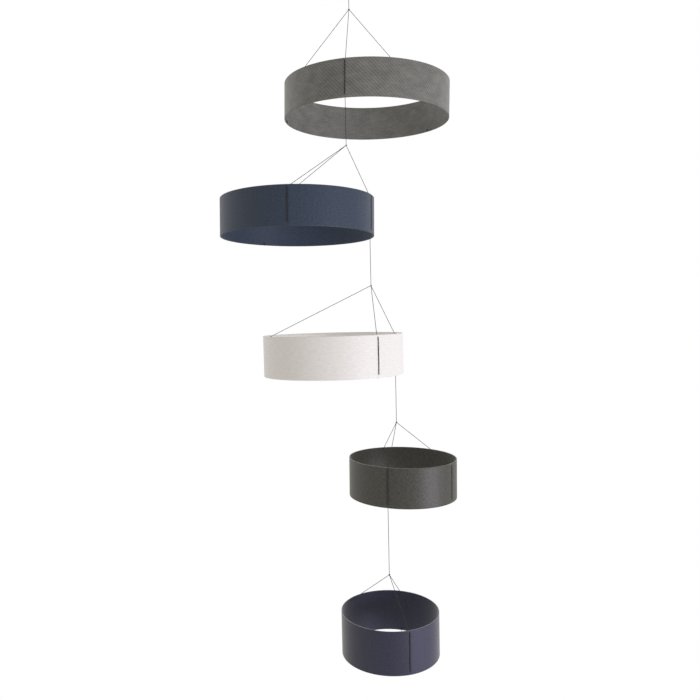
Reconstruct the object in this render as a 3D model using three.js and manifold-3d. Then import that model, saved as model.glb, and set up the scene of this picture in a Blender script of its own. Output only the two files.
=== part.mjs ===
// A hanging mobile: five fabric-covered hoops, one below another, each slung from a knot by three threads.
// Millimetres, +Z up. The origin is the inside top of the tied loop that hangs over a ceiling hook.
// Azimuths are in degrees round a hoop: 0 faces -Y, the front, and 90 faces +X.
import * as THREE from 'three';
import { mergeVertices } from 'three/addons/utils/BufferGeometryUtils.js';
import Module from 'manifold-3d';

const wasm = await Module();
wasm.setup();

// Each hoop: radius and height of the strip, how far its plan is from round and towards which azimuth,
// its lean about Y and X, where its middle hangs from the knot above it, and the azimuths of its three
// threads. The thread to the next hoop drops from the first of the three.
const hoops = [
  { colour: 'grey', radius: 227.1, height: 97.3, oval: 0.027, ovalTowards: 52, lean: [1.59, -0.95],
    fromKnot: [44.6, 159.3, -189.0], threads: [-15.3, -98.0, 122.9], dropToNextKnot: 167.9 },
  { colour: 'navy', radius: 197.8, height: 96.4, oval: 0.032, ovalTowards: 47, lean: [1.01, 1.07],
    fromKnot: [-131.5, 48.8, -173.2], threads: [69.5, -2.3, -148.1], dropToNextKnot: 181.0 },
  { colour: 'white', radius: 170.1, height: 98.0, oval: 0.005, ovalTowards: 0, lean: [-0.14, -0.21],
    fromKnot: [-96.4, -46.4, -167.7], threads: [111.8, -104.5, 37.5], dropToNextKnot: 180.7 },
  { colour: 'charcoal', radius: 140.9, height: 101.8, oval: 0.043, ovalTowards: 40, lean: [0.62, -0.15],
    fromKnot: [18.0, 68.1, -153.8], threads: [-20.0, -161.8, 53.5], dropToNextKnot: 219.4 },
  { colour: 'navy', radius: 120.8, height: 106.6, oval: 0.020, ovalTowards: 40, lean: [0.08, -0.55],
    fromKnot: [0, 0, -141.0], threads: [18.3, -125.5, 162.3] },
];
const wall = 2;
const hoopFacets = 70;

const threadDiameter = 1.5;
const threadSides = 8;
const knotDiameter = 5;
const touchGap = 0.3;

// A stitch is doubled thread: out through the upper hole, down the outer face, in through the lower
// hole, and down to a small knot on the inner face, tighter where the next thread drops from it.
const stitch = { diameter: 2.4, belowTopRim: 5, aboveBottomRim: 8, proudInside: 0.6, knotDiameter: 4.4,
  linkKnotDiameter: 3, knotRise: 4 };
const threadHoleDiameter = 3.3;

const topKnotDrop = 50;
const ceilingLoop = { length: 16, halfWidth: 5, tieDiameter: 4, steps: 6 };

const materials = {
  grey: new THREE.MeshStandardMaterial({ color: 0x7c7b77, roughness: 0.9, metalness: 0 }),
  navy: new THREE.MeshStandardMaterial({ color: 0x484c61, roughness: 0.9, metalness: 0 }),
  white: new THREE.MeshStandardMaterial({ color: 0xe6e3df, roughness: 0.9, metalness: 0 }),
  charcoal: new THREE.MeshStandardMaterial({ color: 0x57554f, roughness: 0.85, metalness: 0 }),
  thread: new THREE.MeshStandardMaterial({ color: 0x4d4a45, roughness: 0.8, metalness: 0 }),
};

const group = new THREE.Group();

function addMesh(name, geometry, material, parent = group) {
  const mesh = new THREE.Mesh(geometry, material);
  mesh.name = name;
  parent.add(mesh);
}

function asSolid(geometry) {
  geometry.deleteAttribute('normal');
  geometry.deleteAttribute('uv');
  const merged = mergeVertices(geometry, 1e-4);
  return new wasm.Manifold(new wasm.Mesh({
    numProp: 3,
    vertProperties: new Float32Array(merged.attributes.position.array),
    triVerts: new Uint32Array(merged.index.array),
  }));
}

function asGeometry(solid) {
  const { vertProperties, triVerts } = solid.getMesh();
  const geometry = new THREE.BufferGeometry();
  geometry.setAttribute('position', new THREE.BufferAttribute(new Float32Array(vertProperties), 3));
  geometry.setIndex(new THREE.BufferAttribute(new Uint32Array(triVerts), 1));
  geometry.computeVertexNormals();
  return geometry;
}

// A round section drawn as a regular polygon.
function section(diameter) {
  const points = [];
  for (let side = 0; side < threadSides; side += 1) {
    const angle = (2 * Math.PI * side) / threadSides;
    points.push(new THREE.Vector2(Math.cos(angle), Math.sin(angle)).multiplyScalar(diameter / 2));
  }
  return new THREE.Shape(points);
}

function tube(path, diameter, steps) {
  return new THREE.ExtrudeGeometry(section(diameter), { extrudePath: path, steps });
}

function straightTube(start, end, diameter) {
  return tube(new THREE.LineCurve3(start, end), diameter, 1);
}

function ball(centre, diameter, slices = 6, stacks = 5) {
  return new THREE.SphereGeometry(diameter / 2, slices, stacks).translate(centre.x, centre.y, centre.z);
}

// A thread pulled straight between two points, starting just clear of what it leaves.
function tautThread(from, to, clearStart, clearEnd) {
  const along = to.clone().sub(from).normalize();
  const start = from.clone().addScaledVector(along, clearStart);
  const end = to.clone().addScaledVector(along, -clearEnd);
  return straightTube(start, end, threadDiameter);
}

function wallRadius(hoop, azimuth) {
  const turn = THREE.MathUtils.degToRad(azimuth - hoop.ovalTowards);
  return hoop.radius * (1 + hoop.oval * Math.cos(2 * turn));
}

// A point by a hoop's wall in the hoop's own frame: outwards from the middle of the wall, and up
// from the middle of its height.
function byWall(hoop, azimuth, outwards, up) {
  const angle = THREE.MathUtils.degToRad(azimuth);
  const radius = wallRadius(hoop, azimuth) + outwards;
  return new THREE.Vector3(radius * Math.sin(angle), -radius * Math.cos(angle), up);
}

function wallOutline(hoop, outwards, OutlineClass) {
  const points = [];
  for (let facet = 0; facet < hoopFacets; facet += 1) {
    const corner = byWall(hoop, (360 * facet) / hoopFacets, outwards, 0);
    points.push(new THREE.Vector2(corner.x, corner.y));
  }
  return new OutlineClass(points);
}

function leanOf(hoop) {
  const [aboutY, aboutX] = hoop.lean.map((degrees) => Math.tan(THREE.MathUtils.degToRad(degrees)));
  const up = new THREE.Vector3(aboutY, aboutX, 1).normalize();
  const right = new THREE.Vector3(1, 0, 0).addScaledVector(up, -up.x).normalize();
  const back = up.clone().cross(right);
  return new THREE.Quaternion().setFromRotationMatrix(new THREE.Matrix4().makeBasis(right, back, up));
}

const upperHole = (hoop) => hoop.height / 2 - stitch.belowTopRim;
const lowerHole = (hoop) => -hoop.height / 2 + stitch.aboveBottomRim;

function hoopGeometry(hoop) {
  const plan = wallOutline(hoop, wall / 2, THREE.Shape);
  plan.holes.push(wallOutline(hoop, -wall / 2, THREE.Path));
  const strip = new THREE.ExtrudeGeometry(plan, { depth: hoop.height, bevelEnabled: false });
  strip.translate(0, 0, -hoop.height / 2);
  let solid = asSolid(strip);
  for (const azimuth of hoop.threads) {
    for (const up of [upperHole(hoop), lowerHole(hoop)]) {
      const inside = byWall(hoop, azimuth, -2 * wall, up);
      const outside = byWall(hoop, azimuth, 2 * wall, up);
      solid = solid.subtract(asSolid(straightTube(inside, outside, threadHoleDiameter)));
    }
  }
  return asGeometry(solid);
}

function stitchKnotDiameter(hoop, azimuth) {
  const holdsNextHoop = azimuth === hoop.threads[0] && hoop.dropToNextKnot;
  return holdsNextHoop ? stitch.linkKnotDiameter : stitch.knotDiameter;
}

function stitchKnot(hoop, azimuth) {
  const inwards = wall / 2 + touchGap + stitchKnotDiameter(hoop, azimuth) / 2;
  return byWall(hoop, azimuth, -inwards, -hoop.height / 2 + stitch.knotRise);
}

function stitchGeometry(hoop, azimuth) {
  const faceOffset = wall / 2 + touchGap + stitch.diameter / 2;
  const high = upperHole(hoop);
  const low = lowerHole(hoop);
  const cornerReach = stitch.diameter / 2;
  const knot = stitchKnot(hoop, azimuth);
  const parts = [
    straightTube(byWall(hoop, azimuth, -(wall / 2 + stitch.proudInside), high),
      byWall(hoop, azimuth, faceOffset, high), stitch.diameter),
    straightTube(byWall(hoop, azimuth, faceOffset, high + cornerReach),
      byWall(hoop, azimuth, faceOffset, low - cornerReach), stitch.diameter),
    straightTube(byWall(hoop, azimuth, faceOffset, low), byWall(hoop, azimuth, -faceOffset, low), stitch.diameter),
    straightTube(byWall(hoop, azimuth, -faceOffset, low + cornerReach),
      byWall(hoop, azimuth, -faceOffset, knot.z), stitch.diameter),
    ball(knot, stitchKnotDiameter(hoop, azimuth)),
  ];
  return asGeometry(parts.map(asSolid).reduce((whole, part) => whole.add(part)));
}

function ceilingThreadGeometry(knot) {
  const { length, halfWidth, tieDiameter, steps } = ceilingLoop;
  const tie = new THREE.Vector3(0, 0, -length);
  const top = threadDiameter / 2;
  const halfLoop = (side) => new THREE.CatmullRomCurve3([
    tie,
    new THREE.Vector3(side * 0.7 * halfWidth, 0, -0.7 * length),
    new THREE.Vector3(side * halfWidth, 0, -0.4 * length),
    new THREE.Vector3(side * 0.7 * halfWidth, 0, -0.1 * length),
    new THREE.Vector3(0, 0, top),
    new THREE.Vector3(-side * 0.1 * halfWidth, 0, top),
  ]);
  const parts = [
    tube(halfLoop(1), threadDiameter, steps),
    tube(halfLoop(-1), threadDiameter, steps),
    ball(tie, tieDiameter),
    tautThread(tie, knot, 0, knotDiameter / 2 + touchGap),
  ];
  return asGeometry(parts.map(asSolid).reduce((whole, part) => whole.add(part)));
}

const letters = ['a', 'b', 'c'];
let knot = new THREE.Vector3(0, 0, -topKnotDrop);
addMesh('ceiling_thread', ceilingThreadGeometry(knot), materials.thread);

hoops.forEach((hoop, index) => {
  const number = index + 1;
  addMesh(`knot_${number}`, ball(knot, knotDiameter), materials.thread);

  const hung = new THREE.Group();
  hung.position.copy(knot).add(new THREE.Vector3(...hoop.fromKnot));
  hung.quaternion.copy(leanOf(hoop));
  hung.updateMatrix();
  group.add(hung);
  addMesh(`hoop_${number}`, hoopGeometry(hoop), materials[hoop.colour], hung);

  hoop.threads.forEach((azimuth, place) => {
    const letter = letters[place];
    addMesh(`stitch_${number}${letter}`, stitchGeometry(hoop, azimuth), materials.thread, hung);
    const insideWall = wall / 2 + stitch.proudInside + touchGap + threadDiameter / 2;
    const mouth = byWall(hoop, azimuth, -insideWall, upperHole(hoop)).applyMatrix4(hung.matrix);
    const bridle = tautThread(knot, mouth, knotDiameter / 2 + touchGap, 0);
    addMesh(`sling_thread_${number}${letter}`, bridle, materials.thread);
  });

  if (hoop.dropToNextKnot) {
    const rimKnot = stitchKnot(hoop, hoop.threads[0]).applyMatrix4(hung.matrix);
    const nextKnot = new THREE.Vector3(rimKnot.x, rimKnot.y, hung.position.z - hoop.dropToNextKnot);
    const clearTop = stitch.linkKnotDiameter / 2 + touchGap;
    const drop = tautThread(rimKnot, nextKnot, clearTop, knotDiameter / 2 + touchGap);
    addMesh(`drop_thread_${number}`, drop, materials.thread);
    knot = nextKnot;
  }
});

export default group;
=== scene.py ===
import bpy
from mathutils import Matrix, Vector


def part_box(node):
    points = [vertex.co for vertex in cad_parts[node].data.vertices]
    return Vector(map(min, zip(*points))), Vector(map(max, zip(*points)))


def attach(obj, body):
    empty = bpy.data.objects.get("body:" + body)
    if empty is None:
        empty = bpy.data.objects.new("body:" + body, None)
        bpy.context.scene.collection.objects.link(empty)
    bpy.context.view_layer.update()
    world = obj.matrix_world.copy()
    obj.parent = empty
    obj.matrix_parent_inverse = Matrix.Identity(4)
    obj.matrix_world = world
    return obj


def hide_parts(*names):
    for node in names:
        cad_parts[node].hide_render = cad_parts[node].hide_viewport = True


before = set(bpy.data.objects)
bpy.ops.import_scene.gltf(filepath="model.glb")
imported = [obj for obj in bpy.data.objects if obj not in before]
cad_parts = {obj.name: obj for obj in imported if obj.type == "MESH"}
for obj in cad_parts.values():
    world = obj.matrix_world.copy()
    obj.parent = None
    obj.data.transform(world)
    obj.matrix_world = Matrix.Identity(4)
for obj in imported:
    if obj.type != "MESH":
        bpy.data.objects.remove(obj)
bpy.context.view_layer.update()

import math

import bpy
from mathutils import Matrix, Vector, noise

# A hanging mobile: five fabric-covered hoops, one below another, each slung from a knot by three
# threads. Metres, +Z up, the front faces -Y. Azimuths are in degrees round a hoop: 0 faces the
# front and 90 faces +X.
mm = 0.001
scene = bpy.context.scene

cameraSetup = {
    "place": (-16.2 * mm, -1828.6 * mm, -840.5 * mm),
    "lens": 35.87,  # on a 36 mm sensor
    "lookDown": 2.643,
    "roll": -1.25,
}


def makeCamera():
    camera = bpy.data.objects.new("camera", bpy.data.cameras.new("camera"))
    camera.data.lens = cameraSetup["lens"]
    camera.data.sensor_width = 36.0
    look = Matrix.Rotation(math.radians(90 - cameraSetup["lookDown"]), 4, "X")
    roll = Matrix.Rotation(math.radians(cameraSetup["roll"]), 4, "Z")
    camera.matrix_world = Matrix.Translation(cameraSetup["place"]) @ look @ roll
    scene.collection.objects.link(camera)
    scene.camera = camera


def linear(hexColour):
    # an sRGB hex colour as the linear values that nodes take
    channels = [int(hexColour[place:place + 2], 16) / 255 for place in (1, 3, 5)]
    return tuple(c / 12.92 if c <= 0.04045 else ((c + 0.055) / 1.055) ** 2.4 for c in channels) + (1.0,)


def addNode(tree, kind, *inputs, named=None, **settings):
    # inputs fill the sockets in order, named by name; each is a value, a socket, or a node's first output
    node = tree.nodes.new(kind)
    for name, value in settings.items():
        setattr(node, name, value)
    for socket, value in [*enumerate(inputs), *(named or {}).items()]:
        source = value.outputs[0] if isinstance(value, bpy.types.Node) else value
        if isinstance(source, bpy.types.NodeSocket):
            tree.links.new(source, node.inputs[socket])
        else:
            node.inputs[socket].default_value = source
    return node


def newGeometryTree(name, inputs):
    tree = bpy.data.node_groups.new(name, "GeometryNodeTree")
    tree.interface.new_socket("Geometry", in_out="INPUT", socket_type="NodeSocketGeometry")
    for label, kind in inputs.items():
        tree.interface.new_socket(label, in_out="INPUT", socket_type="NodeSocket" + kind)
    tree.interface.new_socket("Geometry", in_out="OUTPUT", socket_type="NodeSocketGeometry")
    return tree, tree.nodes.new("NodeGroupInput").outputs


def finishTree(tree, geometry, material):
    smooth = addNode(tree, "GeometryNodeSetShadeSmooth", geometry)
    real = addNode(tree, "GeometryNodeRealizeInstances", smooth)
    painted = addNode(tree, "GeometryNodeSetMaterial", real, named={"Material": material})
    addNode(tree, "NodeGroupOutput", painted)


def growMesh(name, tree, values, start=None):
    # runs a tree with these named inputs and keeps what it makes as a plain mesh object
    carrier = bpy.data.objects.new(name + "Carrier", start or bpy.data.meshes.new(name + "Start"))
    modifier = carrier.modifiers.new("grow", "NODES")
    modifier.node_group = tree
    for socket in tree.interface.items_tree:
        if socket.in_out == "INPUT" and socket.name in values:
            modifier[socket.identifier] = values[socket.name]
    scene.collection.objects.link(carrier)
    depsgraph = bpy.context.evaluated_depsgraph_get()
    grown = bpy.data.meshes.new_from_object(carrier.evaluated_get(depsgraph))
    carrier.modifiers.remove(modifier)
    bpy.data.objects.remove(carrier)
    piece = bpy.data.objects.new(name, grown)
    scene.collection.objects.link(piece)
    return piece


# The hoops' cloths. paintedJoinShade is painted shading: it lightens the start of a strip and darkens
# its end, so the tone steps where the two ends meet, as light falls on the two sides of the corner there.
# gloss is the specular level. Sizes are in millimetres. Real ribs, fibres and yarns are about a
# millimetre or finer, so each pattern here is drawn coarser, to show from a step away.
cloths = {
    "greyTwill": {
        "dark": "#575856", "light": "#858683", "edge": "#4a4944", "paintedJoinShade": 0.08, "roughness": 0.5,
        "gloss": 0.8, "sheen": 0.1, "ribPitch": 6.9, "ribSlope": 45, "relief": 0.5},
    "navyFelt": {
        "dark": "#25303f", "light": "#3b4a65", "edge": "#2c303c", "paintedJoinShade": 0.06, "roughness": 0.55,
        "gloss": 0.5, "sheen": 0.15, "mottle": 6.0, "fibre": 2.4, "relief": 0.6},
    # plumNavyFelt's edge colour is a paler felt core with a painted highlight where the cut rims catch the
    # light
    "plumNavyFelt": {
        "dark": "#212338", "light": "#353a58", "edge": "#9a9bac", "paintedJoinShade": 0.15, "roughness": 0.55,
        "gloss": 0.5, "sheen": 0.7, "mottle": 6.0, "fibre": 2.4, "relief": 0.6},
    "slubSilk": {
        "dark": "#eeecea", "light": "#f9f8f7", "edge": "#e8e4e0", "paintedJoinShade": 0.0, "roughness": 0.5,
        "gloss": 0.6, "sheen": 0.0, "slubPitch": 3.0, "slubLength": 11.0, "relief": 0.5},
    # charcoalTweed's edge colour is a paler core with a painted highlight where the cut rims catch the
    # light
    "charcoalTweed": {
        "dark": "#33332f", "light": "#53524d", "edge": "#a5a29a", "paintedJoinShade": -0.05, "roughness": 0.5,
        "gloss": 0.6, "sheen": 0.25, "mottle": 5.0, "weave": 2.6, "relief": 0.4},
}
sheenRoughness = 0.4
linen = {"dark": "#2c2a27", "light": "#4b4742", "colour": "#3b3834", "roughness": 0.7, "gloss": 0.25,
         "sheen": 0.1, "fleck": 2.0}


def newMaterial(name, colour, finish):
    # cloth: no metal, a low gloss, and a soft sheen from its raised fibres
    material = bpy.data.materials.new(name)
    material.use_nodes = True
    shader = material.node_tree.nodes["Principled BSDF"]
    shader.inputs["Base Color"].default_value = linear(colour)
    shader.inputs["Roughness"].default_value = finish["roughness"]
    shader.inputs["Specular IOR Level"].default_value = finish["gloss"]
    shader.inputs["Sheen Weight"].default_value = finish["sheen"]
    shader.inputs["Sheen Roughness"].default_value = sheenRoughness
    return material, material.node_tree, shader


def stripCoordinates(tree):
    # the strip's own flat coordinates in millimetres: along the strip and up it
    flat = addNode(tree, "ShaderNodeUVMap", uv_map="strip")
    return addNode(tree, "ShaderNodeVectorMath", flat, named={"Scale": 1 / mm}, operation="SCALE")


def clothGrain(tree, flat, along, up, detail, seed):
    # noise whose grain is this many millimetres along the strip and up it
    grain = addNode(tree, "ShaderNodeVectorMath", flat, (1 / along, 1 / up, 0.0), operation="MULTIPLY")
    return addNode(tree, "ShaderNodeTexNoise", grain, noise_dimensions="4D",
                   named={"W": seed, "Scale": 1.0, "Detail": detail, "Roughness": 0.6})


def finishCloth(tree, shader, cloth, pattern, relief):
    # pattern from 0 to 1 mixes the two shades; relief is the height of the yarns
    base = addNode(tree, "ShaderNodeMix", pattern, data_type="RGBA",
                   named={6: linear(cloth["dark"]), 7: linear(cloth["light"])})
    along = addNode(tree, "ShaderNodeAttribute", attribute_name="alongStrip")
    # painted shading: the strip's start is made lighter and its end darker, standing in for the light
    # falling differently on the two sides of the corner at the join
    paintedJoinStep = addNode(tree, "ShaderNodeMapRange", along.outputs["Fac"], 0.0, 1.0,
                    1 + cloth["paintedJoinShade"], 1 - cloth["paintedJoinShade"])
    paintedJoinColour = addNode(tree, "ShaderNodeVectorMath", base.outputs[2], named={"Scale": paintedJoinStep},
                     operation="SCALE")
    # the cut edges take the cloth's edge colour; where it is much lighter than the cloth, it is a paler
    # core with a painted highlight on the rims
    cut = addNode(tree, "ShaderNodeAttribute", attribute_name="cutEdge")
    whole = addNode(tree, "ShaderNodeMix", cut.outputs["Fac"], data_type="RGBA",
                    named={6: paintedJoinColour, 7: linear(cloth["edge"])})
    tree.links.new(whole.outputs[2], shader.inputs["Base Color"])
    bump = addNode(tree, "ShaderNodeBump", named={"Height": relief, "Distance": cloth["relief"] * mm})
    tree.links.new(bump.outputs[0], shader.inputs["Normal"])


def greyTwillMaterial():
    # wool twill: ribs that run down to the right at 45 degrees, with streaks along the weft
    cloth = cloths["greyTwill"]
    material, tree, shader = newMaterial("greyWoolTwill", cloth["light"], cloth)
    flat = stripCoordinates(tree)
    slope = math.radians(cloth["ribSlope"])
    acrossRibs = addNode(tree, "ShaderNodeVectorMath", flat, (math.sin(slope), math.cos(slope), 0.0),
                         operation="DOT_PRODUCT")
    wander = clothGrain(tree, flat, 14, 7, 2.0, 1.0)
    bent = addNode(tree, "ShaderNodeMath", wander, 5.0, acrossRibs.outputs["Value"],
                   operation="MULTIPLY_ADD")
    turns = addNode(tree, "ShaderNodeMath", bent, math.tau / cloth["ribPitch"], operation="MULTIPLY")
    rib = addNode(tree, "ShaderNodeMath", turns, operation="SINE")
    streak = clothGrain(tree, flat, 22, 2.2, 3.0, 2.0)
    patch = clothGrain(tree, flat, 40, 22, 2.0, 3.0)
    woven = addNode(tree, "ShaderNodeMath", rib, 0.16, streak, operation="MULTIPLY_ADD")
    cloudy = addNode(tree, "ShaderNodeMath", woven, patch, operation="ADD")
    pattern = addNode(tree, "ShaderNodeMapRange", cloudy, 0.6, 1.4)
    finishCloth(tree, shader, cloth, pattern, woven)
    return material


def feltMaterial(name, kind):
    # pressed wool felt: no weave, a soft cloudy nap
    cloth = cloths[kind]
    material, tree, shader = newMaterial(name, cloth["light"], cloth)
    flat = stripCoordinates(tree)
    cloud = clothGrain(tree, flat, cloth["mottle"], cloth["mottle"] * 0.7, 3.0, 4.0)
    fibre = clothGrain(tree, flat, cloth["fibre"] * 1.6, cloth["fibre"], 2.0, 5.0)
    nap = addNode(tree, "ShaderNodeMath", fibre, 0.6, cloud, operation="MULTIPLY_ADD")
    pattern = addNode(tree, "ShaderNodeMapRange", nap, 0.5, 1.1)
    finishCloth(tree, shader, cloth, pattern, nap)
    return material


def slubSilkMaterial():
    # raw silk: fine weft with thick slubs that start and stop along it
    cloth = cloths["slubSilk"]
    material, tree, shader = newMaterial("naturalSlubSilk", cloth["light"], cloth)
    flat = stripCoordinates(tree)
    slub = clothGrain(tree, flat, cloth["slubLength"], cloth["slubPitch"], 2.0, 6.0)
    warp = clothGrain(tree, flat, 1.5, 9.0, 2.0, 7.0)
    woven = addNode(tree, "ShaderNodeMath", warp, 0.25, slub, operation="MULTIPLY_ADD")
    pattern = addNode(tree, "ShaderNodeMapRange", woven, 0.4, 0.8)
    finishCloth(tree, shader, cloth, pattern, woven)
    return material


def charcoalTweedMaterial():
    # plain-woven wool in mixed dark yarns, pressed to a slight sheen
    cloth = cloths["charcoalTweed"]
    material, tree, shader = newMaterial("charcoalWoolTweed", cloth["light"], cloth)
    flat = stripCoordinates(tree)
    weft = clothGrain(tree, flat, cloth["weave"] * 3, cloth["weave"], 2.0, 8.0)
    warp = clothGrain(tree, flat, cloth["weave"], cloth["weave"] * 3, 2.0, 9.0)
    cloud = clothGrain(tree, flat, cloth["mottle"] * 2, cloth["mottle"], 2.0, 10.0)
    woven = addNode(tree, "ShaderNodeMath", weft, warp, operation="ADD")
    cloudy = addNode(tree, "ShaderNodeMath", cloud, 0.6, woven, operation="MULTIPLY_ADD")
    pattern = addNode(tree, "ShaderNodeMapRange", cloudy, 1.0, 1.6)
    finishCloth(tree, shader, cloth, pattern, woven)
    return material


def linenThreadMaterial():
    # waxed linen thread: dark, dull, a little uneven
    material, tree, shader = newMaterial("waxedLinenThread", linen["colour"], linen)
    place = addNode(tree, "ShaderNodeTexCoord")
    fleck = addNode(tree, "ShaderNodeTexNoise", place.outputs["Object"],
                    named={"Scale": 1 / (linen["fleck"] * mm), "Detail": 2.0})
    mixed = addNode(tree, "ShaderNodeMix", fleck, data_type="RGBA",
                    named={6: linear(linen["dark"]), 7: linear(linen["light"])})
    tree.links.new(mixed.outputs[2], shader.inputs["Base Color"])
    return material


# Each hoop's strip, in millimetres and degrees. Its middle hangs from the knot above it; the first
# of its three threads also carries the next hoop; its two ends meet at join, in a corner that stands
# out by ridge. ragged is how far the cut edges fray and slub how far the silk's slubs stand up.
hoops = {
    1: {"radius": 227.1, "height": 97.3, "oval": 0.027, "ovalTowards": 52, "lean": (1.59, -0.95),
        "fromKnot": (44.6, 159.3, -189.0), "threads": (-15.3, -98.0, 122.9), "join": -15.3, "ridge": 0.8,
        "columns": 700, "bands": 2, "cloth": "greyTwill", "slot": "grey_fabric",
        "ragged": 0.2, "slub": 0.0},
    2: {"radius": 197.8, "height": 96.4, "oval": 0.032, "ovalTowards": 47, "lean": (1.01, 1.07),
        "fromKnot": (-131.5, 48.8, -173.2), "threads": (69.5, -2.3, -148.1), "join": -2.3, "ridge": 0.5,
        "columns": 600, "bands": 2, "cloth": "navyFelt", "slot": "navy_fabric",
        "ragged": 0.25, "slub": 0.0},
    3: {"radius": 170.1, "height": 98.0, "oval": 0.005, "ovalTowards": 0, "lean": (-0.14, -0.21),
        "fromKnot": (-96.4, -46.4, -167.7), "threads": (111.8, -104.5, 37.5), "join": 37.5, "ridge": 0.0,
        "columns": 420, "bands": 3, "cloth": "slubSilk", "slot": "white_fabric",
        "ragged": 0.2, "slub": 0.25},
    4: {"radius": 140.9, "height": 101.8, "oval": 0.043, "ovalTowards": 40, "lean": (0.62, -0.15),
        "fromKnot": (18.0, 68.1, -153.8), "threads": (-20.0, -161.8, 53.5), "join": -20.0, "ridge": -0.4,
        "columns": 480, "bands": 2, "cloth": "charcoalTweed", "slot": "charcoal_fabric",
        "ragged": 0.5, "slub": 0.0},
    5: {"radius": 120.8, "height": 106.6, "oval": 0.020, "ovalTowards": 40, "lean": (0.08, -0.55),
        "fromKnot": (0, 0, -141.0), "threads": (18.3, -125.5, 162.3), "join": 18.3, "ridge": 0.8,
        "columns": 420, "bands": 2, "cloth": "plumNavyFelt", "slot": "navy_fabric",
        "ragged": 0.45, "slub": 0.0},
}
strip = {
    "wall": 2.0, "edgeRound": 0.35, "rimWander": 0.35, "ringWave": 0.4, "napSize": 9.0, "napHeight": 0.12,
    "slubPitch": 5.5, "slubLength": 45.0, "frayPitch": 2.5, "joinDepth": 0.6, "joinWidth": 0.9,
    "pullDepth": 0.4, "pullWidth": 4.0, "ridgeWidth": 9.0, "weld": 0.01, "rowsInBand": 50, "crowding": 0.7,
}
# a section's share of rows: each face takes 0.44 of them and each cut edge 0.06
faceShare, halfTurn = 0.44, 0.5


def bellAround(tree, azimuth, centre, radius, width):
    # 1 at one azimuth, falling off over a width along the strip
    apart = addNode(tree, "ShaderNodeMath", azimuth, centre, operation="SUBTRACT")
    facing = addNode(tree, "ShaderNodeMath", apart, operation="COSINE")
    away = addNode(tree, "ShaderNodeMath", 1.0, facing, operation="SUBTRACT")
    ratio = addNode(tree, "ShaderNodeMath", radius, width, operation="DIVIDE")
    squared = addNode(tree, "ShaderNodeMath", ratio, ratio, operation="MULTIPLY")
    fall = addNode(tree, "ShaderNodeMath", away, squared, operation="MULTIPLY")
    doubled = addNode(tree, "ShaderNodeMath", fall, -2.0, operation="MULTIPLY")
    return addNode(tree, "ShaderNodeMath", doubled, operation="EXPONENT")


def grainAt(tree, x, y, z, seed, detail):
    # noise from -0.5 to 0.5
    place = addNode(tree, "ShaderNodeCombineXYZ", x, y, z)
    grain = addNode(tree, "ShaderNodeTexNoise", place, noise_dimensions="4D",
                    named={"W": seed, "Scale": 1.0, "Detail": detail})
    return addNode(tree, "ShaderNodeMath", grain, 0.5, operation="SUBTRACT")


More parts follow.
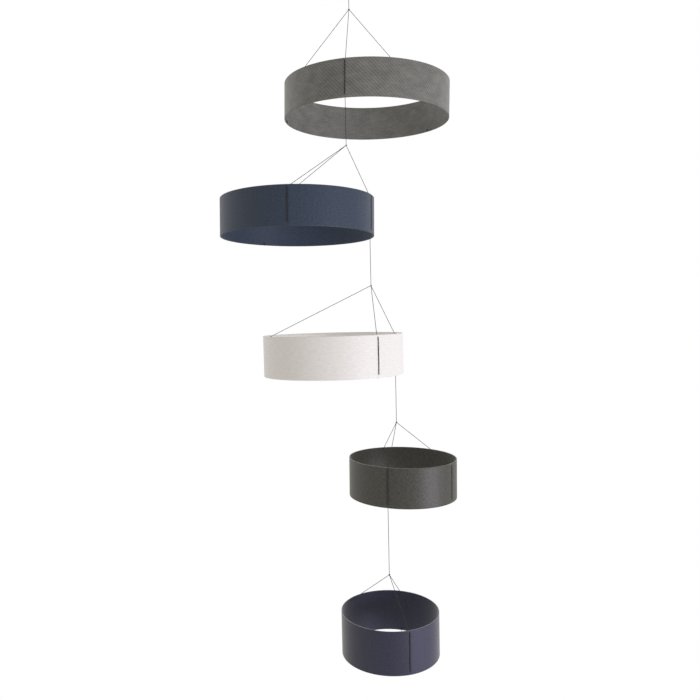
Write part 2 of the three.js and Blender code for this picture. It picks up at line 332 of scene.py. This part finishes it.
def bentStripTree():
    # a flat grid bent into a closed strip: its X runs round the hoop, its Y round the strip's section
    tree, given = newGeometryTree("bentStrip", {
        "Radius": "Float", "Height": "Float", "Wall": "Float", "Oval": "Float", "Oval Towards": "Float",
        "Join": "Float", "Thread A": "Float", "Thread B": "Float", "Thread C": "Float",
        "Columns": "Int", "Rows": "Int", "Crowding": "Float", "Edge Round": "Float", "Ragged": "Float",
        "Rim Wander": "Float", "Ring Wave": "Float", "Nap Size": "Float", "Nap Height": "Float",
        "Slub Pitch": "Float", "Slub Length": "Float", "Slub Height": "Float", "Join Depth": "Float",
        "Join Width": "Float", "Pull Depth": "Float", "Pull Width": "Float", "Ridge": "Float",
        "Ridge Width": "Float", "Seed": "Float",
        "Material": "Material"})
    columnPoints = addNode(tree, "ShaderNodeMath", given["Columns"], 1.0, operation="ADD")
    rowPoints = addNode(tree, "ShaderNodeMath", given["Rows"], 1.0, operation="ADD")
    grid = addNode(tree, "GeometryNodeMeshGrid", 1.0, 1.0, columnPoints, rowPoints)
    corner = addNode(tree, "ShaderNodeSeparateXYZ", addNode(tree, "GeometryNodeInputPosition"))
    around = addNode(tree, "ShaderNodeMath", corner.outputs["X"], 0.5, operation="ADD")
    section = addNode(tree, "ShaderNodeMath", corner.outputs["Y"], 0.5, operation="ADD")

    # columns crowd towards the join, where the relief is finest
    turn = addNode(tree, "ShaderNodeMath", around, math.tau, operation="MULTIPLY")
    swing = addNode(tree, "ShaderNodeMath", turn, operation="SINE")
    share = addNode(tree, "ShaderNodeMath", given["Crowding"], -1 / math.tau, operation="MULTIPLY")
    along = addNode(tree, "ShaderNodeMath", swing, share, around, operation="MULTIPLY_ADD")
    azimuth = addNode(tree, "ShaderNodeMath", along, math.tau, given["Join"], operation="MULTIPLY_ADD")
    sine = addNode(tree, "ShaderNodeMath", azimuth, operation="SINE")
    cosine = addNode(tree, "ShaderNodeMath", azimuth, operation="COSINE")

    # up the outer face, over the top edge, down the inner face, under the bottom edge
    climb = addNode(tree, "ShaderNodeMapRange", section, 0.0, faceShare, -1.0, 1.0)
    descend = addNode(tree, "ShaderNodeMapRange", section, halfTurn, halfTurn + faceShare, 0.0, 2.0)
    rise = addNode(tree, "ShaderNodeMath", climb, descend, operation="SUBTRACT")
    inwards = addNode(tree, "ShaderNodeMapRange", section, faceShare, halfTurn, 1.0, -1.0)
    outwards = addNode(tree, "ShaderNodeMapRange", section, halfTurn + faceShare, 1.0, 0.0, 2.0)
    side = addNode(tree, "ShaderNodeMath", inwards, outwards, operation="ADD")
    sideSquared = addNode(tree, "ShaderNodeMath", side, side, operation="MULTIPLY")
    faceness = addNode(tree, "ShaderNodeMath", sideSquared, sideSquared, operation="MULTIPLY")
    cutEdge = addNode(tree, "ShaderNodeMath", 1.0, faceness, operation="SUBTRACT")

    girth = addNode(tree, "ShaderNodeMath", given["Radius"], math.tau, operation="MULTIPLY")
    length = addNode(tree, "ShaderNodeMath", along, girth, operation="MULTIPLY")
    halfHeight = addNode(tree, "ShaderNodeMath", given["Height"], 0.5, operation="MULTIPLY")
    level = addNode(tree, "ShaderNodeMath", rise, halfHeight, operation="MULTIPLY")

    # nap and slubs, faded out beside the join so that the two ends meet
    nap = grainAt(tree, addNode(tree, "ShaderNodeMath", length, given["Nap Size"], operation="DIVIDE"),
                  addNode(tree, "ShaderNodeMath", level, given["Nap Size"], operation="DIVIDE"),
                  side, given["Seed"], 2.0)
    napRelief = addNode(tree, "ShaderNodeMath", nap, given["Nap Height"], operation="MULTIPLY")
    slub = grainAt(tree, addNode(tree, "ShaderNodeMath", length, given["Slub Length"], operation="DIVIDE"),
                   addNode(tree, "ShaderNodeMath", level, given["Slub Pitch"], operation="DIVIDE"),
                   addNode(tree, "ShaderNodeMath", side, 7.0, operation="MULTIPLY"), given["Seed"], 1.0)
    thick = addNode(tree, "ShaderNodeMapRange", slub, -0.05, 0.2, 0.0, 1.0)
    relief = addNode(tree, "ShaderNodeMath", thick, given["Slub Height"], napRelief,
                     operation="MULTIPLY_ADD")
    nearest = addNode(tree, "ShaderNodeMath", along, 0.5, operation="PINGPONG")
    toJoin = addNode(tree, "ShaderNodeMath", nearest, girth, operation="MULTIPLY")
    faded = addNode(tree, "ShaderNodeMapRange", toJoin, 0.0, given["Pull Width"], 0.0, relief)

    # the groove where the ends meet, and the furrow that each stitch pulls in the outer face
    groove = bellAround(tree, azimuth, given["Join"], given["Radius"], given["Join Width"])
    grooved = addNode(tree, "ShaderNodeMath", groove, given["Join Depth"], operation="MULTIPLY")
    furrow = None
    for label in ("Thread A", "Thread B", "Thread C"):
        bell = bellAround(tree, azimuth, given[label], given["Radius"], given["Pull Width"])
        furrow = addNode(tree, "ShaderNodeMath", bell, furrow or 0.0, operation="ADD")
    outerOnly = addNode(tree, "ShaderNodeMath", side, 0.0, operation="MAXIMUM")
    pulled = addNode(tree, "ShaderNodeMath", furrow, given["Pull Depth"], operation="MULTIPLY")
    pulledOuter = addNode(tree, "ShaderNodeMath", pulled, outerOnly, operation="MULTIPLY")
    surface = addNode(tree, "ShaderNodeMath", faded, grooved, operation="SUBTRACT")
    sunk = addNode(tree, "ShaderNodeMath", surface, pulledOuter, operation="SUBTRACT")
    halfWall = addNode(tree, "ShaderNodeMath", given["Wall"], 0.5, sunk, operation="MULTIPLY_ADD")

    # the plan: nearly round, a little oval, with a slow wave
    turned = addNode(tree, "ShaderNodeMath", azimuth, given["Oval Towards"], operation="SUBTRACT")
    twice = addNode(tree, "ShaderNodeMath", turned, 2.0, operation="MULTIPLY")
    swell = addNode(tree, "ShaderNodeMath", twice, operation="COSINE")
    out = addNode(tree, "ShaderNodeMath", swell, given["Oval"], 1.0, operation="MULTIPLY_ADD")
    ring = addNode(tree, "ShaderNodeMath", out, given["Radius"], operation="MULTIPLY")
    # the stiff ends meet at a slight corner instead of on the curve
    reach = addNode(tree, "ShaderNodeMath", toJoin, given["Ridge Width"], operation="DIVIDE")
    fallen = addNode(tree, "ShaderNodeMath", reach, -1.0, operation="MULTIPLY")
    eased = addNode(tree, "ShaderNodeMath", fallen, operation="EXPONENT")
    cornered = addNode(tree, "ShaderNodeMath", eased, given["Ridge"], ring, operation="MULTIPLY_ADD")
    wave = grainAt(tree, sine, cosine, 3.0, given["Seed"], 2.0)
    waved = addNode(tree, "ShaderNodeMath", wave, given["Ring Wave"], cornered, operation="MULTIPLY_ADD")
    radius = addNode(tree, "ShaderNodeMath", side, halfWall, waved, operation="MULTIPLY_ADD")

    # rounded cut edges on rims that wander a little; their fray isn't faded out beside the join
    rimNoise = grainAt(tree, addNode(tree, "ShaderNodeMath", sine, 2.0, operation="MULTIPLY"),
                       addNode(tree, "ShaderNodeMath", cosine, 2.0, operation="MULTIPLY"),
                       rise, given["Seed"], 3.0)
    wandered = addNode(tree, "ShaderNodeMath", rimNoise, given["Rim Wander"], halfHeight,
                       operation="MULTIPLY_ADD")
    rounded = addNode(tree, "ShaderNodeMath", faceness, given["Edge Round"], operation="MULTIPLY")
    rim = addNode(tree, "ShaderNodeMath", wandered, rounded, operation="SUBTRACT")
    frayStep = addNode(tree, "ShaderNodeMath", length, strip["frayPitch"] * mm, operation="DIVIDE")
    fray = grainAt(tree, frayStep, rise, 0.0, given["Seed"], 2.0)
    frayed = addNode(tree, "ShaderNodeMath", fray, given["Ragged"], operation="MULTIPLY")
    frayedEdge = addNode(tree, "ShaderNodeMath", frayed, cutEdge, rim, operation="MULTIPLY_ADD")
    height = addNode(tree, "ShaderNodeMath", rise, frayedEdge, operation="MULTIPLY")

    x = addNode(tree, "ShaderNodeMath", radius, sine, operation="MULTIPLY")
    y = addNode(tree, "ShaderNodeMath", radius, cosine, operation="MULTIPLY")
    back = addNode(tree, "ShaderNodeMath", y, -1.0, operation="MULTIPLY")
    bent = addNode(tree, "ShaderNodeCombineXYZ", x, back, height)

    # the inner face takes its pattern from further up the cloth
    innerShare = addNode(tree, "ShaderNodeMath", 1.0, side, operation="SUBTRACT")
    clothHeight = addNode(tree, "ShaderNodeMath", innerShare, given["Height"], level,
                          operation="MULTIPLY_ADD")
    flat = addNode(tree, "ShaderNodeCombineXYZ", length, clothHeight, 0.0)
    mapped = addNode(tree, "GeometryNodeStoreNamedAttribute", grid, data_type="FLOAT2", domain="CORNER",
                     named={"Name": "strip", "Value": flat})
    placed = addNode(tree, "GeometryNodeStoreNamedAttribute", mapped, data_type="FLOAT", domain="CORNER",
                     named={"Name": "alongStrip", "Value": along})
    edged = addNode(tree, "GeometryNodeStoreNamedAttribute", placed, data_type="FLOAT", domain="POINT",
                    named={"Name": "cutEdge", "Value": cutEdge})
    shaped = addNode(tree, "GeometryNodeSetPosition", edged, named={"Position": bent})
    closed = addNode(tree, "GeometryNodeMergeByDistance", shaped, named={"Distance": strip["weld"] * mm})
    finishTree(tree, closed, given["Material"])
    return tree


def boxMiddle(node):
    low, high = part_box(node)
    return (Vector(low) + Vector(high)) / 2


def hoopFrame(number):
    # from a hoop's own level frame in millimetres to its place in the mobile in metres
    hoop = hoops[number]
    leanRight, leanBack = (math.tan(math.radians(degrees)) for degrees in hoop["lean"])
    up = Vector((leanRight, leanBack, 1)).normalized()
    right = (Vector((1, 0, 0)) - up * up.x).normalized()
    turn = Matrix((right, up.cross(right), up)).transposed().to_4x4()
    middle = boxMiddle(f"knot_{number}") + Vector(hoop["fromKnot"]) * mm
    return Matrix.Translation(middle) @ turn @ Matrix.Scale(mm, 4)


def byWall(hoop, azimuth, outwards, up):
    # a point beside the wall in the hoop's own frame: out from the wall's middle, up from half its height
    angle = math.radians(azimuth)
    swell = math.cos(2 * math.radians(azimuth - hoop["ovalTowards"]))
    radius = hoop["radius"] * (1 + hoop["oval"] * swell) + outwards
    return Vector((radius * math.sin(angle), -radius * math.cos(angle), up))


def makeHoop(number, tree, material):
    hoop = hoops[number]
    azimuths = dict(zip(("Thread A", "Thread B", "Thread C"), (math.radians(a) for a in hoop["threads"])))
    piece = growMesh(f"hoop{number}Cloth", tree, {
        "Radius": hoop["radius"] * mm, "Height": hoop["height"] * mm, "Wall": strip["wall"] * mm,
        "Oval": hoop["oval"], "Oval Towards": math.radians(hoop["ovalTowards"]),
        "Join": math.radians(hoop["join"]), **azimuths, "Columns": hoop["columns"],
        "Rows": hoop["bands"] * strip["rowsInBand"], "Crowding": strip["crowding"],
        "Edge Round": strip["edgeRound"] * mm, "Ragged": hoop["ragged"] * mm,
        "Rim Wander": strip["rimWander"] * mm, "Ring Wave": strip["ringWave"] * mm,
        "Nap Size": strip["napSize"] * mm, "Nap Height": strip["napHeight"] * mm,
        "Slub Pitch": strip["slubPitch"] * mm, "Slub Length": strip["slubLength"] * mm,
        "Slub Height": hoop["slub"] * mm, "Join Depth": strip["joinDepth"] * mm,
        "Join Width": strip["joinWidth"] * mm, "Pull Depth": strip["pullDepth"] * mm,
        "Pull Width": strip["pullWidth"] * mm, "Ridge": hoop["ridge"] * mm,
        "Ridge Width": strip["ridgeWidth"] * mm, "Seed": float(number), "Material": material})
    piece.data.transform(hoopFrame(number) @ Matrix.Scale(1 / mm, 4))
    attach(piece, "root")
    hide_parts(f"hoop_{number}")


# Thread sizes in millimetres. The join is sewn with the thread doubled, and each other stitch is single.
# A thread's end is tucked into its knot, and a stitch stands out of the wall by a share of its diameter.
thread = {"diameter": 1.5, "plies": 3, "turn": 9.0, "lobe": 0.16, "sides": 9, "ring": 0.75, "clear": 0.3,
          "tuck": 0.3}
stitch = {"diameter": 1.6, "plies": 2, "turn": 9.0, "lobe": 0.25, "sides": 10, "ring": 0.8,
          "belowTopRim": 5.0, "aboveBottomRim": 8.0, "bend": 1.4, "wobble": 0.5, "wobbleLength": 12,
          "standsOut": 0.35, "proudInside": 0.6, "mouthRise": 0.6, "knotRise": 4.0, "knotDiameter": 4.4,
          "linkKnotDiameter": 3.0, "knotStrand": 1.3, "tail": 5.0}
joinStitch = {**stitch, "diameter": 2.4, "lobe": 0.35}
wobbleSeed = 9.1
knotShape = {"diameter": 5.0, "strand": 1.5, "points": 60, "windings": 2, "loops": 3, "tube": 0.42,
             "core": 0.58, "rise": 1.3}
ceilingLoop = {"length": 16.0, "halfWidth": 5.0, "bend": 2.0, "tie": 4.0, "tieStrand": 1.3}
bendSteps = 6


def twistedThreadTree():
    # sweeps a lobed section along a line and turns it as it goes, like laid yarns
    tree, given = newGeometryTree("twistedThread", {
        "Diameter": "Float", "Plies": "Int", "Turn": "Float", "Lobe": "Float", "Sides": "Int",
        "Material": "Material"})
    inputNode = tree.nodes[0]
    line = addNode(tree, "GeometryNodeMeshToCurve", inputNode.outputs["Geometry"])
    travelled = addNode(tree, "GeometryNodeSplineParameter").outputs["Length"]
    turns = addNode(tree, "ShaderNodeMath", travelled, given["Turn"], operation="DIVIDE")
    angle = addNode(tree, "ShaderNodeMath", turns, math.tau, operation="MULTIPLY")
    twisted = addNode(tree, "GeometryNodeSetCurveTilt", line, named={"Tilt": angle})
    radius = addNode(tree, "ShaderNodeMath", given["Diameter"], 0.5, operation="MULTIPLY")
    ring = addNode(tree, "GeometryNodeCurvePrimitiveCircle",
                   named={"Resolution": given["Sides"], "Radius": radius})
    index = addNode(tree, "GeometryNodeInputIndex")
    step = addNode(tree, "ShaderNodeMath", index, given["Sides"], operation="DIVIDE")
    ply = addNode(tree, "ShaderNodeMath", step, given["Plies"], operation="MULTIPLY")
    phase = addNode(tree, "ShaderNodeMath", ply, math.tau, operation="MULTIPLY")
    crest = addNode(tree, "ShaderNodeMath", phase, operation="COSINE")
    dip = addNode(tree, "ShaderNodeMapRange", crest, -1.0, 1.0, given["Lobe"], 0.0)
    scale = addNode(tree, "ShaderNodeMath", 1.0, dip, operation="SUBTRACT")
    spot = addNode(tree, "GeometryNodeInputPosition")
    lobed = addNode(tree, "ShaderNodeVectorMath", spot, named={"Scale": scale}, operation="SCALE")
    section = addNode(tree, "GeometryNodeSetPosition", ring, named={"Position": lobed})
    swept = addNode(tree, "GeometryNodeCurveToMesh", twisted, section, named={"Fill Caps": True})
    finishTree(tree, swept, given["Material"])
    return tree


def softPath(corners, bend, spacing):
    # straight runs between corners that are rounded over a short reach, as points evenly spaced along it
    route = [corners[0]]
    for before, corner, after in zip(corners, corners[1:], corners[2:]):
        start = corner + (before - corner).normalized() * bend
        end = corner + (after - corner).normalized() * bend
        for step in range(bendSteps + 1):
            t = step / bendSteps
            route.append(start * (1 - t) ** 2 + corner * 2 * t * (1 - t) + end * t ** 2)
    route.append(corners[-1])
    return evenPath(route, spacing)


def evenPath(route, spacing):
    lengths = [0.0]
    for first, second in zip(route, route[1:]):
        lengths.append(lengths[-1] + (second - first).length)
    count = max(2, round(lengths[-1] / spacing))
    points, leg = [], 0
    for step in range(count + 1):
        target = lengths[-1] * step / count
        while leg < len(route) - 2 and lengths[leg + 1] < target:
            leg += 1
        share = (target - lengths[leg]) / max(lengths[leg + 1] - lengths[leg], 1e-12)
        points.append(route[leg].lerp(route[leg + 1], min(share, 1.0)))
    return points


def sweep(name, tree, points, size, material, closed=False):
    line = bpy.data.meshes.new(name + "Line")
    edges = [(place, place + 1) for place in range(len(points) - 1)]
    line.from_pydata(points, edges + ([(len(points) - 1, 0)] if closed else []), [])
    return growMesh(name, tree, {
        "Diameter": size["diameter"] * mm, "Plies": size["plies"], "Turn": size["turn"] * mm,
        "Lobe": size["lobe"], "Sides": size["sides"], "Material": material}, line)


def finishTrim(piece, node):
    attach(piece, "root")
    if node:
        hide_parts(node)


def makeThread(name, node, points, tree, material):
    piece = sweep(name, tree, points, thread, material)
    finishTrim(piece, node)


def tautPoints(start, end, clearStart, clearEnd):
    along = (end - start).normalized()
    return evenPath([start + along * clearStart, end - along * clearEnd], thread["ring"] * mm)


def knotPoints(middle, diameter, strand):
    # a thread tied on itself, drawn as a tight three-lobed winding
    outer = (diameter - strand) / 2
    tube, core = outer * knotShape["tube"], outer * knotShape["core"]
    points = []
    for step in range(knotShape["points"]):
        t = math.tau * step / knotShape["points"]
        reach = core + tube * math.cos(knotShape["loops"] * t)
        winding = knotShape["windings"] * t
        points.append(middle + Vector((reach * math.cos(winding), reach * math.sin(winding),
                                       knotShape["rise"] * tube * math.sin(knotShape["loops"] * t))))
    return points


def makeKnot(name, node, middle, diameter, strand, tree, material):
    size = {**thread, "diameter": strand}
    piece = sweep(name, tree, knotPoints(middle, diameter * mm, strand * mm), size, material, closed=True)
    finishTrim(piece, node)
    return piece


def stitchKnotDiameter(number, azimuth):
    carriesNext = azimuth == hoops[number]["threads"][0] and number + 1 in hoops
    return stitch["linkKnotDiameter"] if carriesNext else stitch["knotDiameter"]


def stitchKnotPlace(number, azimuth):
    # on the inner face, a little above the bottom rim
    hoop = hoops[number]
    inside = strip["wall"] / 2 + thread["clear"] + stitchKnotDiameter(number, azimuth) / 2
    return byWall(hoop, azimuth, -inside, -hoop["height"] / 2 + stitch["knotRise"])


def stitchPoints(number, azimuth, size):
    # out through the wall near the top rim, down the outer face, back in near the bottom rim, to its knot
    hoop = hoops[number]
    onJoin = azimuth == hoop["join"]
    inner = -(strip["wall"] + size["diameter"]) / 2
    outer = strip["wall"] / 2 + size["diameter"] * size["standsOut"] + (hoop["ridge"] if onJoin else 0)
    high = hoop["height"] / 2 - size["belowTopRim"]
    low = -hoop["height"] / 2 + size["aboveBottomRim"]
    knot = stitchKnotPlace(number, azimuth)
    corners = [byWall(hoop, azimuth, inner, high + size["mouthRise"]),
               byWall(hoop, azimuth, inner / 2, high), byWall(hoop, azimuth, outer, high),
               byWall(hoop, azimuth, outer, low), byWall(hoop, azimuth, inner, low),
               byWall(hoop, azimuth, inner, (low + knot.z) / 2), knot]
    if stitchKnotDiameter(number, azimuth) == stitch["knotDiameter"]:
        corners.append(knot - Vector((0, 0, stitch["tail"])))
    points = softPath(corners, size["bend"], size["ring"])
    # pulled by hand, it isn't quite straight
    sideways = Vector((math.cos(math.radians(azimuth)), math.sin(math.radians(azimuth)), 0))
    for point in points:
        spot = Vector((number * wobbleSeed, azimuth, point.z / size["wobbleLength"]))
        sway = noise.noise(spot) * size["wobble"]
        point += sideways * sway
    return [hoopFrame(number) @ point for point in points]


def makeThreads(number, tree, material):
    hoop = hoops[number]
    place = hoopFrame(number)
    above = boxMiddle(f"knot_{number}")
    knotClear = (knotShape["diameter"] / 2 - thread["tuck"]) * mm
    makeKnot(f"knot{number}", f"knot_{number}", above, knotShape["diameter"], knotShape["strand"],
             tree, material)
    for letter, azimuth in zip("abc", hoop["threads"]):
        inside = strip["wall"] / 2 + stitch["proudInside"] + thread["clear"] + thread["diameter"] / 2
        mouth = place @ byWall(hoop, azimuth, -inside, hoop["height"] / 2 - stitch["belowTopRim"])
        makeThread(f"slingThread{number}{letter}", f"sling_thread_{number}{letter}",
                   tautPoints(above, mouth, knotClear, 0), tree, material)
        size = joinStitch if azimuth == hoop["join"] else stitch
        sewn = sweep(f"stitch{number}{letter}", tree, stitchPoints(number, azimuth, size), size, material)
        finishTrim(sewn, f"stitch_{number}{letter}")
        makeKnot(f"stitchKnot{number}{letter}", None, place @ stitchKnotPlace(number, azimuth),
                 stitchKnotDiameter(number, azimuth), stitch["knotStrand"], tree, material)
    if number + 1 in hoops:
        linkKnot = place @ stitchKnotPlace(number, hoop["threads"][0])
        linkClear = (stitch["linkKnotDiameter"] / 2 - thread["tuck"]) * mm
        route = tautPoints(linkKnot, boxMiddle(f"knot_{number + 1}"), linkClear, knotClear)
        makeThread(f"dropThread{number}", f"drop_thread_{number}", route, tree, material)


def makeCeilingThread(tree, material):
    # up from the first knot, once round the loop, and back to the knot that ties it
    length, halfWidth = ceilingLoop["length"], ceilingLoop["halfWidth"]
    top = thread["diameter"] / 2
    tie = Vector((0, 0, -length)) * mm
    outline = [(0, 0, -length), (0.7 * halfWidth, 0, -0.7 * length), (halfWidth, 0, -0.4 * length),
               (0.75 * halfWidth, 0, -0.1 * length), (0, 0, top), (-0.75 * halfWidth, 0, -0.1 * length),
               (-halfWidth, 0, -0.4 * length), (-0.7 * halfWidth, 0, -0.7 * length), (0, 0.5, -length)]
    first = boxMiddle("knot_1") + Vector((0, 0, (knotShape["diameter"] / 2 - thread["tuck"]) * mm))
    corners = [first, *(Vector(point) * mm for point in outline)]
    points = softPath(corners, ceilingLoop["bend"] * mm, thread["ring"] * mm)
    makeThread("ceilingThread", "ceiling_thread", points, tree, material)
    makeKnot("loopKnot", None, tie, ceilingLoop["tie"], ceilingLoop["tieStrand"], tree, material)


floorDrop = 3.4  # metres below the hook
keyLight = {"azimuth": 52, "distance": 3.0, "height": -0.82, "size": 1.5, "power": 48,
            "colour": "#f4f2ff"}
# the room is bright behind the mobile and dimmer in front of it; the camera sees plain white
room = {"front": "#fffaf1", "frontStrength": 0.5, "frontEnds": -0.3, "back": "#ffffff",
        "backStrength": 1.0, "backStarts": 0.7, "shown": "#ffffff", "floor": "#e9e6e0", "floorReach": 12.0}


def makeFloor():
    mesh = bpy.data.meshes.new("floor")
    reach = room["floorReach"]
    corners = ((-1, -1), (1, -1), (1, 1), (-1, 1))
    mesh.from_pydata([(x * reach, y * reach, -floorDrop) for x, y in corners], [], [(0, 1, 2, 3)])
    floor = bpy.data.objects.new("floor", mesh)
    scene.collection.objects.link(floor)
    material = bpy.data.materials.new("paleFloor")
    material.use_nodes = True
    tree = material.node_tree
    tree.nodes.clear()
    seen = addNode(tree, "ShaderNodeLightPath").outputs["Is Camera Ray"]
    matt = addNode(tree, "ShaderNodeBsdfDiffuse", linear(room["floor"]))
    bright = addNode(tree, "ShaderNodeEmission", linear(room["shown"]), 1.0)
    both = addNode(tree, "ShaderNodeMixShader", seen, matt, bright)
    addNode(tree, "ShaderNodeOutputMaterial", both)
    mesh.materials.append(material)


def makeLights():
    target = boxMiddle("hoop_3")
    data = bpy.data.lights.new("key", "AREA")
    data.size = keyLight["size"]
    data.energy = keyLight["power"]
    data.color = linear(keyLight["colour"])[:3]
    lamp = bpy.data.objects.new("key", data)
    angle = math.radians(keyLight["azimuth"])
    away = keyLight["distance"]
    lamp.location = target + Vector((math.sin(angle) * away, -math.cos(angle) * away, keyLight["height"]))
    lamp.rotation_euler = (target - lamp.location).to_track_quat("-Z", "Y").to_euler()
    scene.collection.objects.link(lamp)


def makeRoom():
    world = bpy.data.worlds.new("studio")
    scene.world = world
    world.use_nodes = True
    tree = world.node_tree
    tree.nodes.clear()
    seen = addNode(tree, "ShaderNodeLightPath").outputs["Is Camera Ray"]
    towards = addNode(tree, "ShaderNodeTexCoord").outputs["Generated"]
    depth = addNode(tree, "ShaderNodeSeparateXYZ", towards).outputs["Y"]
    share = addNode(tree, "ShaderNodeMapRange", depth, room["frontEnds"], room["backStarts"])
    colour = addNode(tree, "ShaderNodeMix", share, data_type="RGBA",
                     named={6: linear(room["front"]), 7: linear(room["back"])})
    strength = addNode(tree, "ShaderNodeMapRange", share, 0.0, 1.0,
                       room["frontStrength"], room["backStrength"])
    soft = addNode(tree, "ShaderNodeBackground", colour.outputs[2], strength)
    shown = addNode(tree, "ShaderNodeBackground", linear(room["shown"]), 1.0)
    both = addNode(tree, "ShaderNodeMixShader", seen, soft, shown)
    addNode(tree, "ShaderNodeOutputWorld", both)
    scene.view_settings.view_transform = "Standard"


makeCamera()
print("camera placed")
threadMaterial = linenThreadMaterial()
threadTree = twistedThreadTree()
makeCeilingThread(threadTree, threadMaterial)
for number in hoops:
    makeThreads(number, threadTree, threadMaterial)
print("threads, stitches and knots made")
clothMaterials = {
    "greyTwill": greyTwillMaterial(),
    "navyFelt": feltMaterial("navyWoolFelt", "navyFelt"),
    "plumNavyFelt": feltMaterial("plumNavyWoolFelt", "plumNavyFelt"),
    "slubSilk": slubSilkMaterial(),
    "charcoalTweed": charcoalTweedMaterial(),
}
stripTree = bentStripTree()
for number, hoop in hoops.items():
    makeHoop(number, stripTree, clothMaterials[hoop["cloth"]])
print("hoops made")
makeFloor()
makeLights()
makeRoom()
print("floor and lights set")
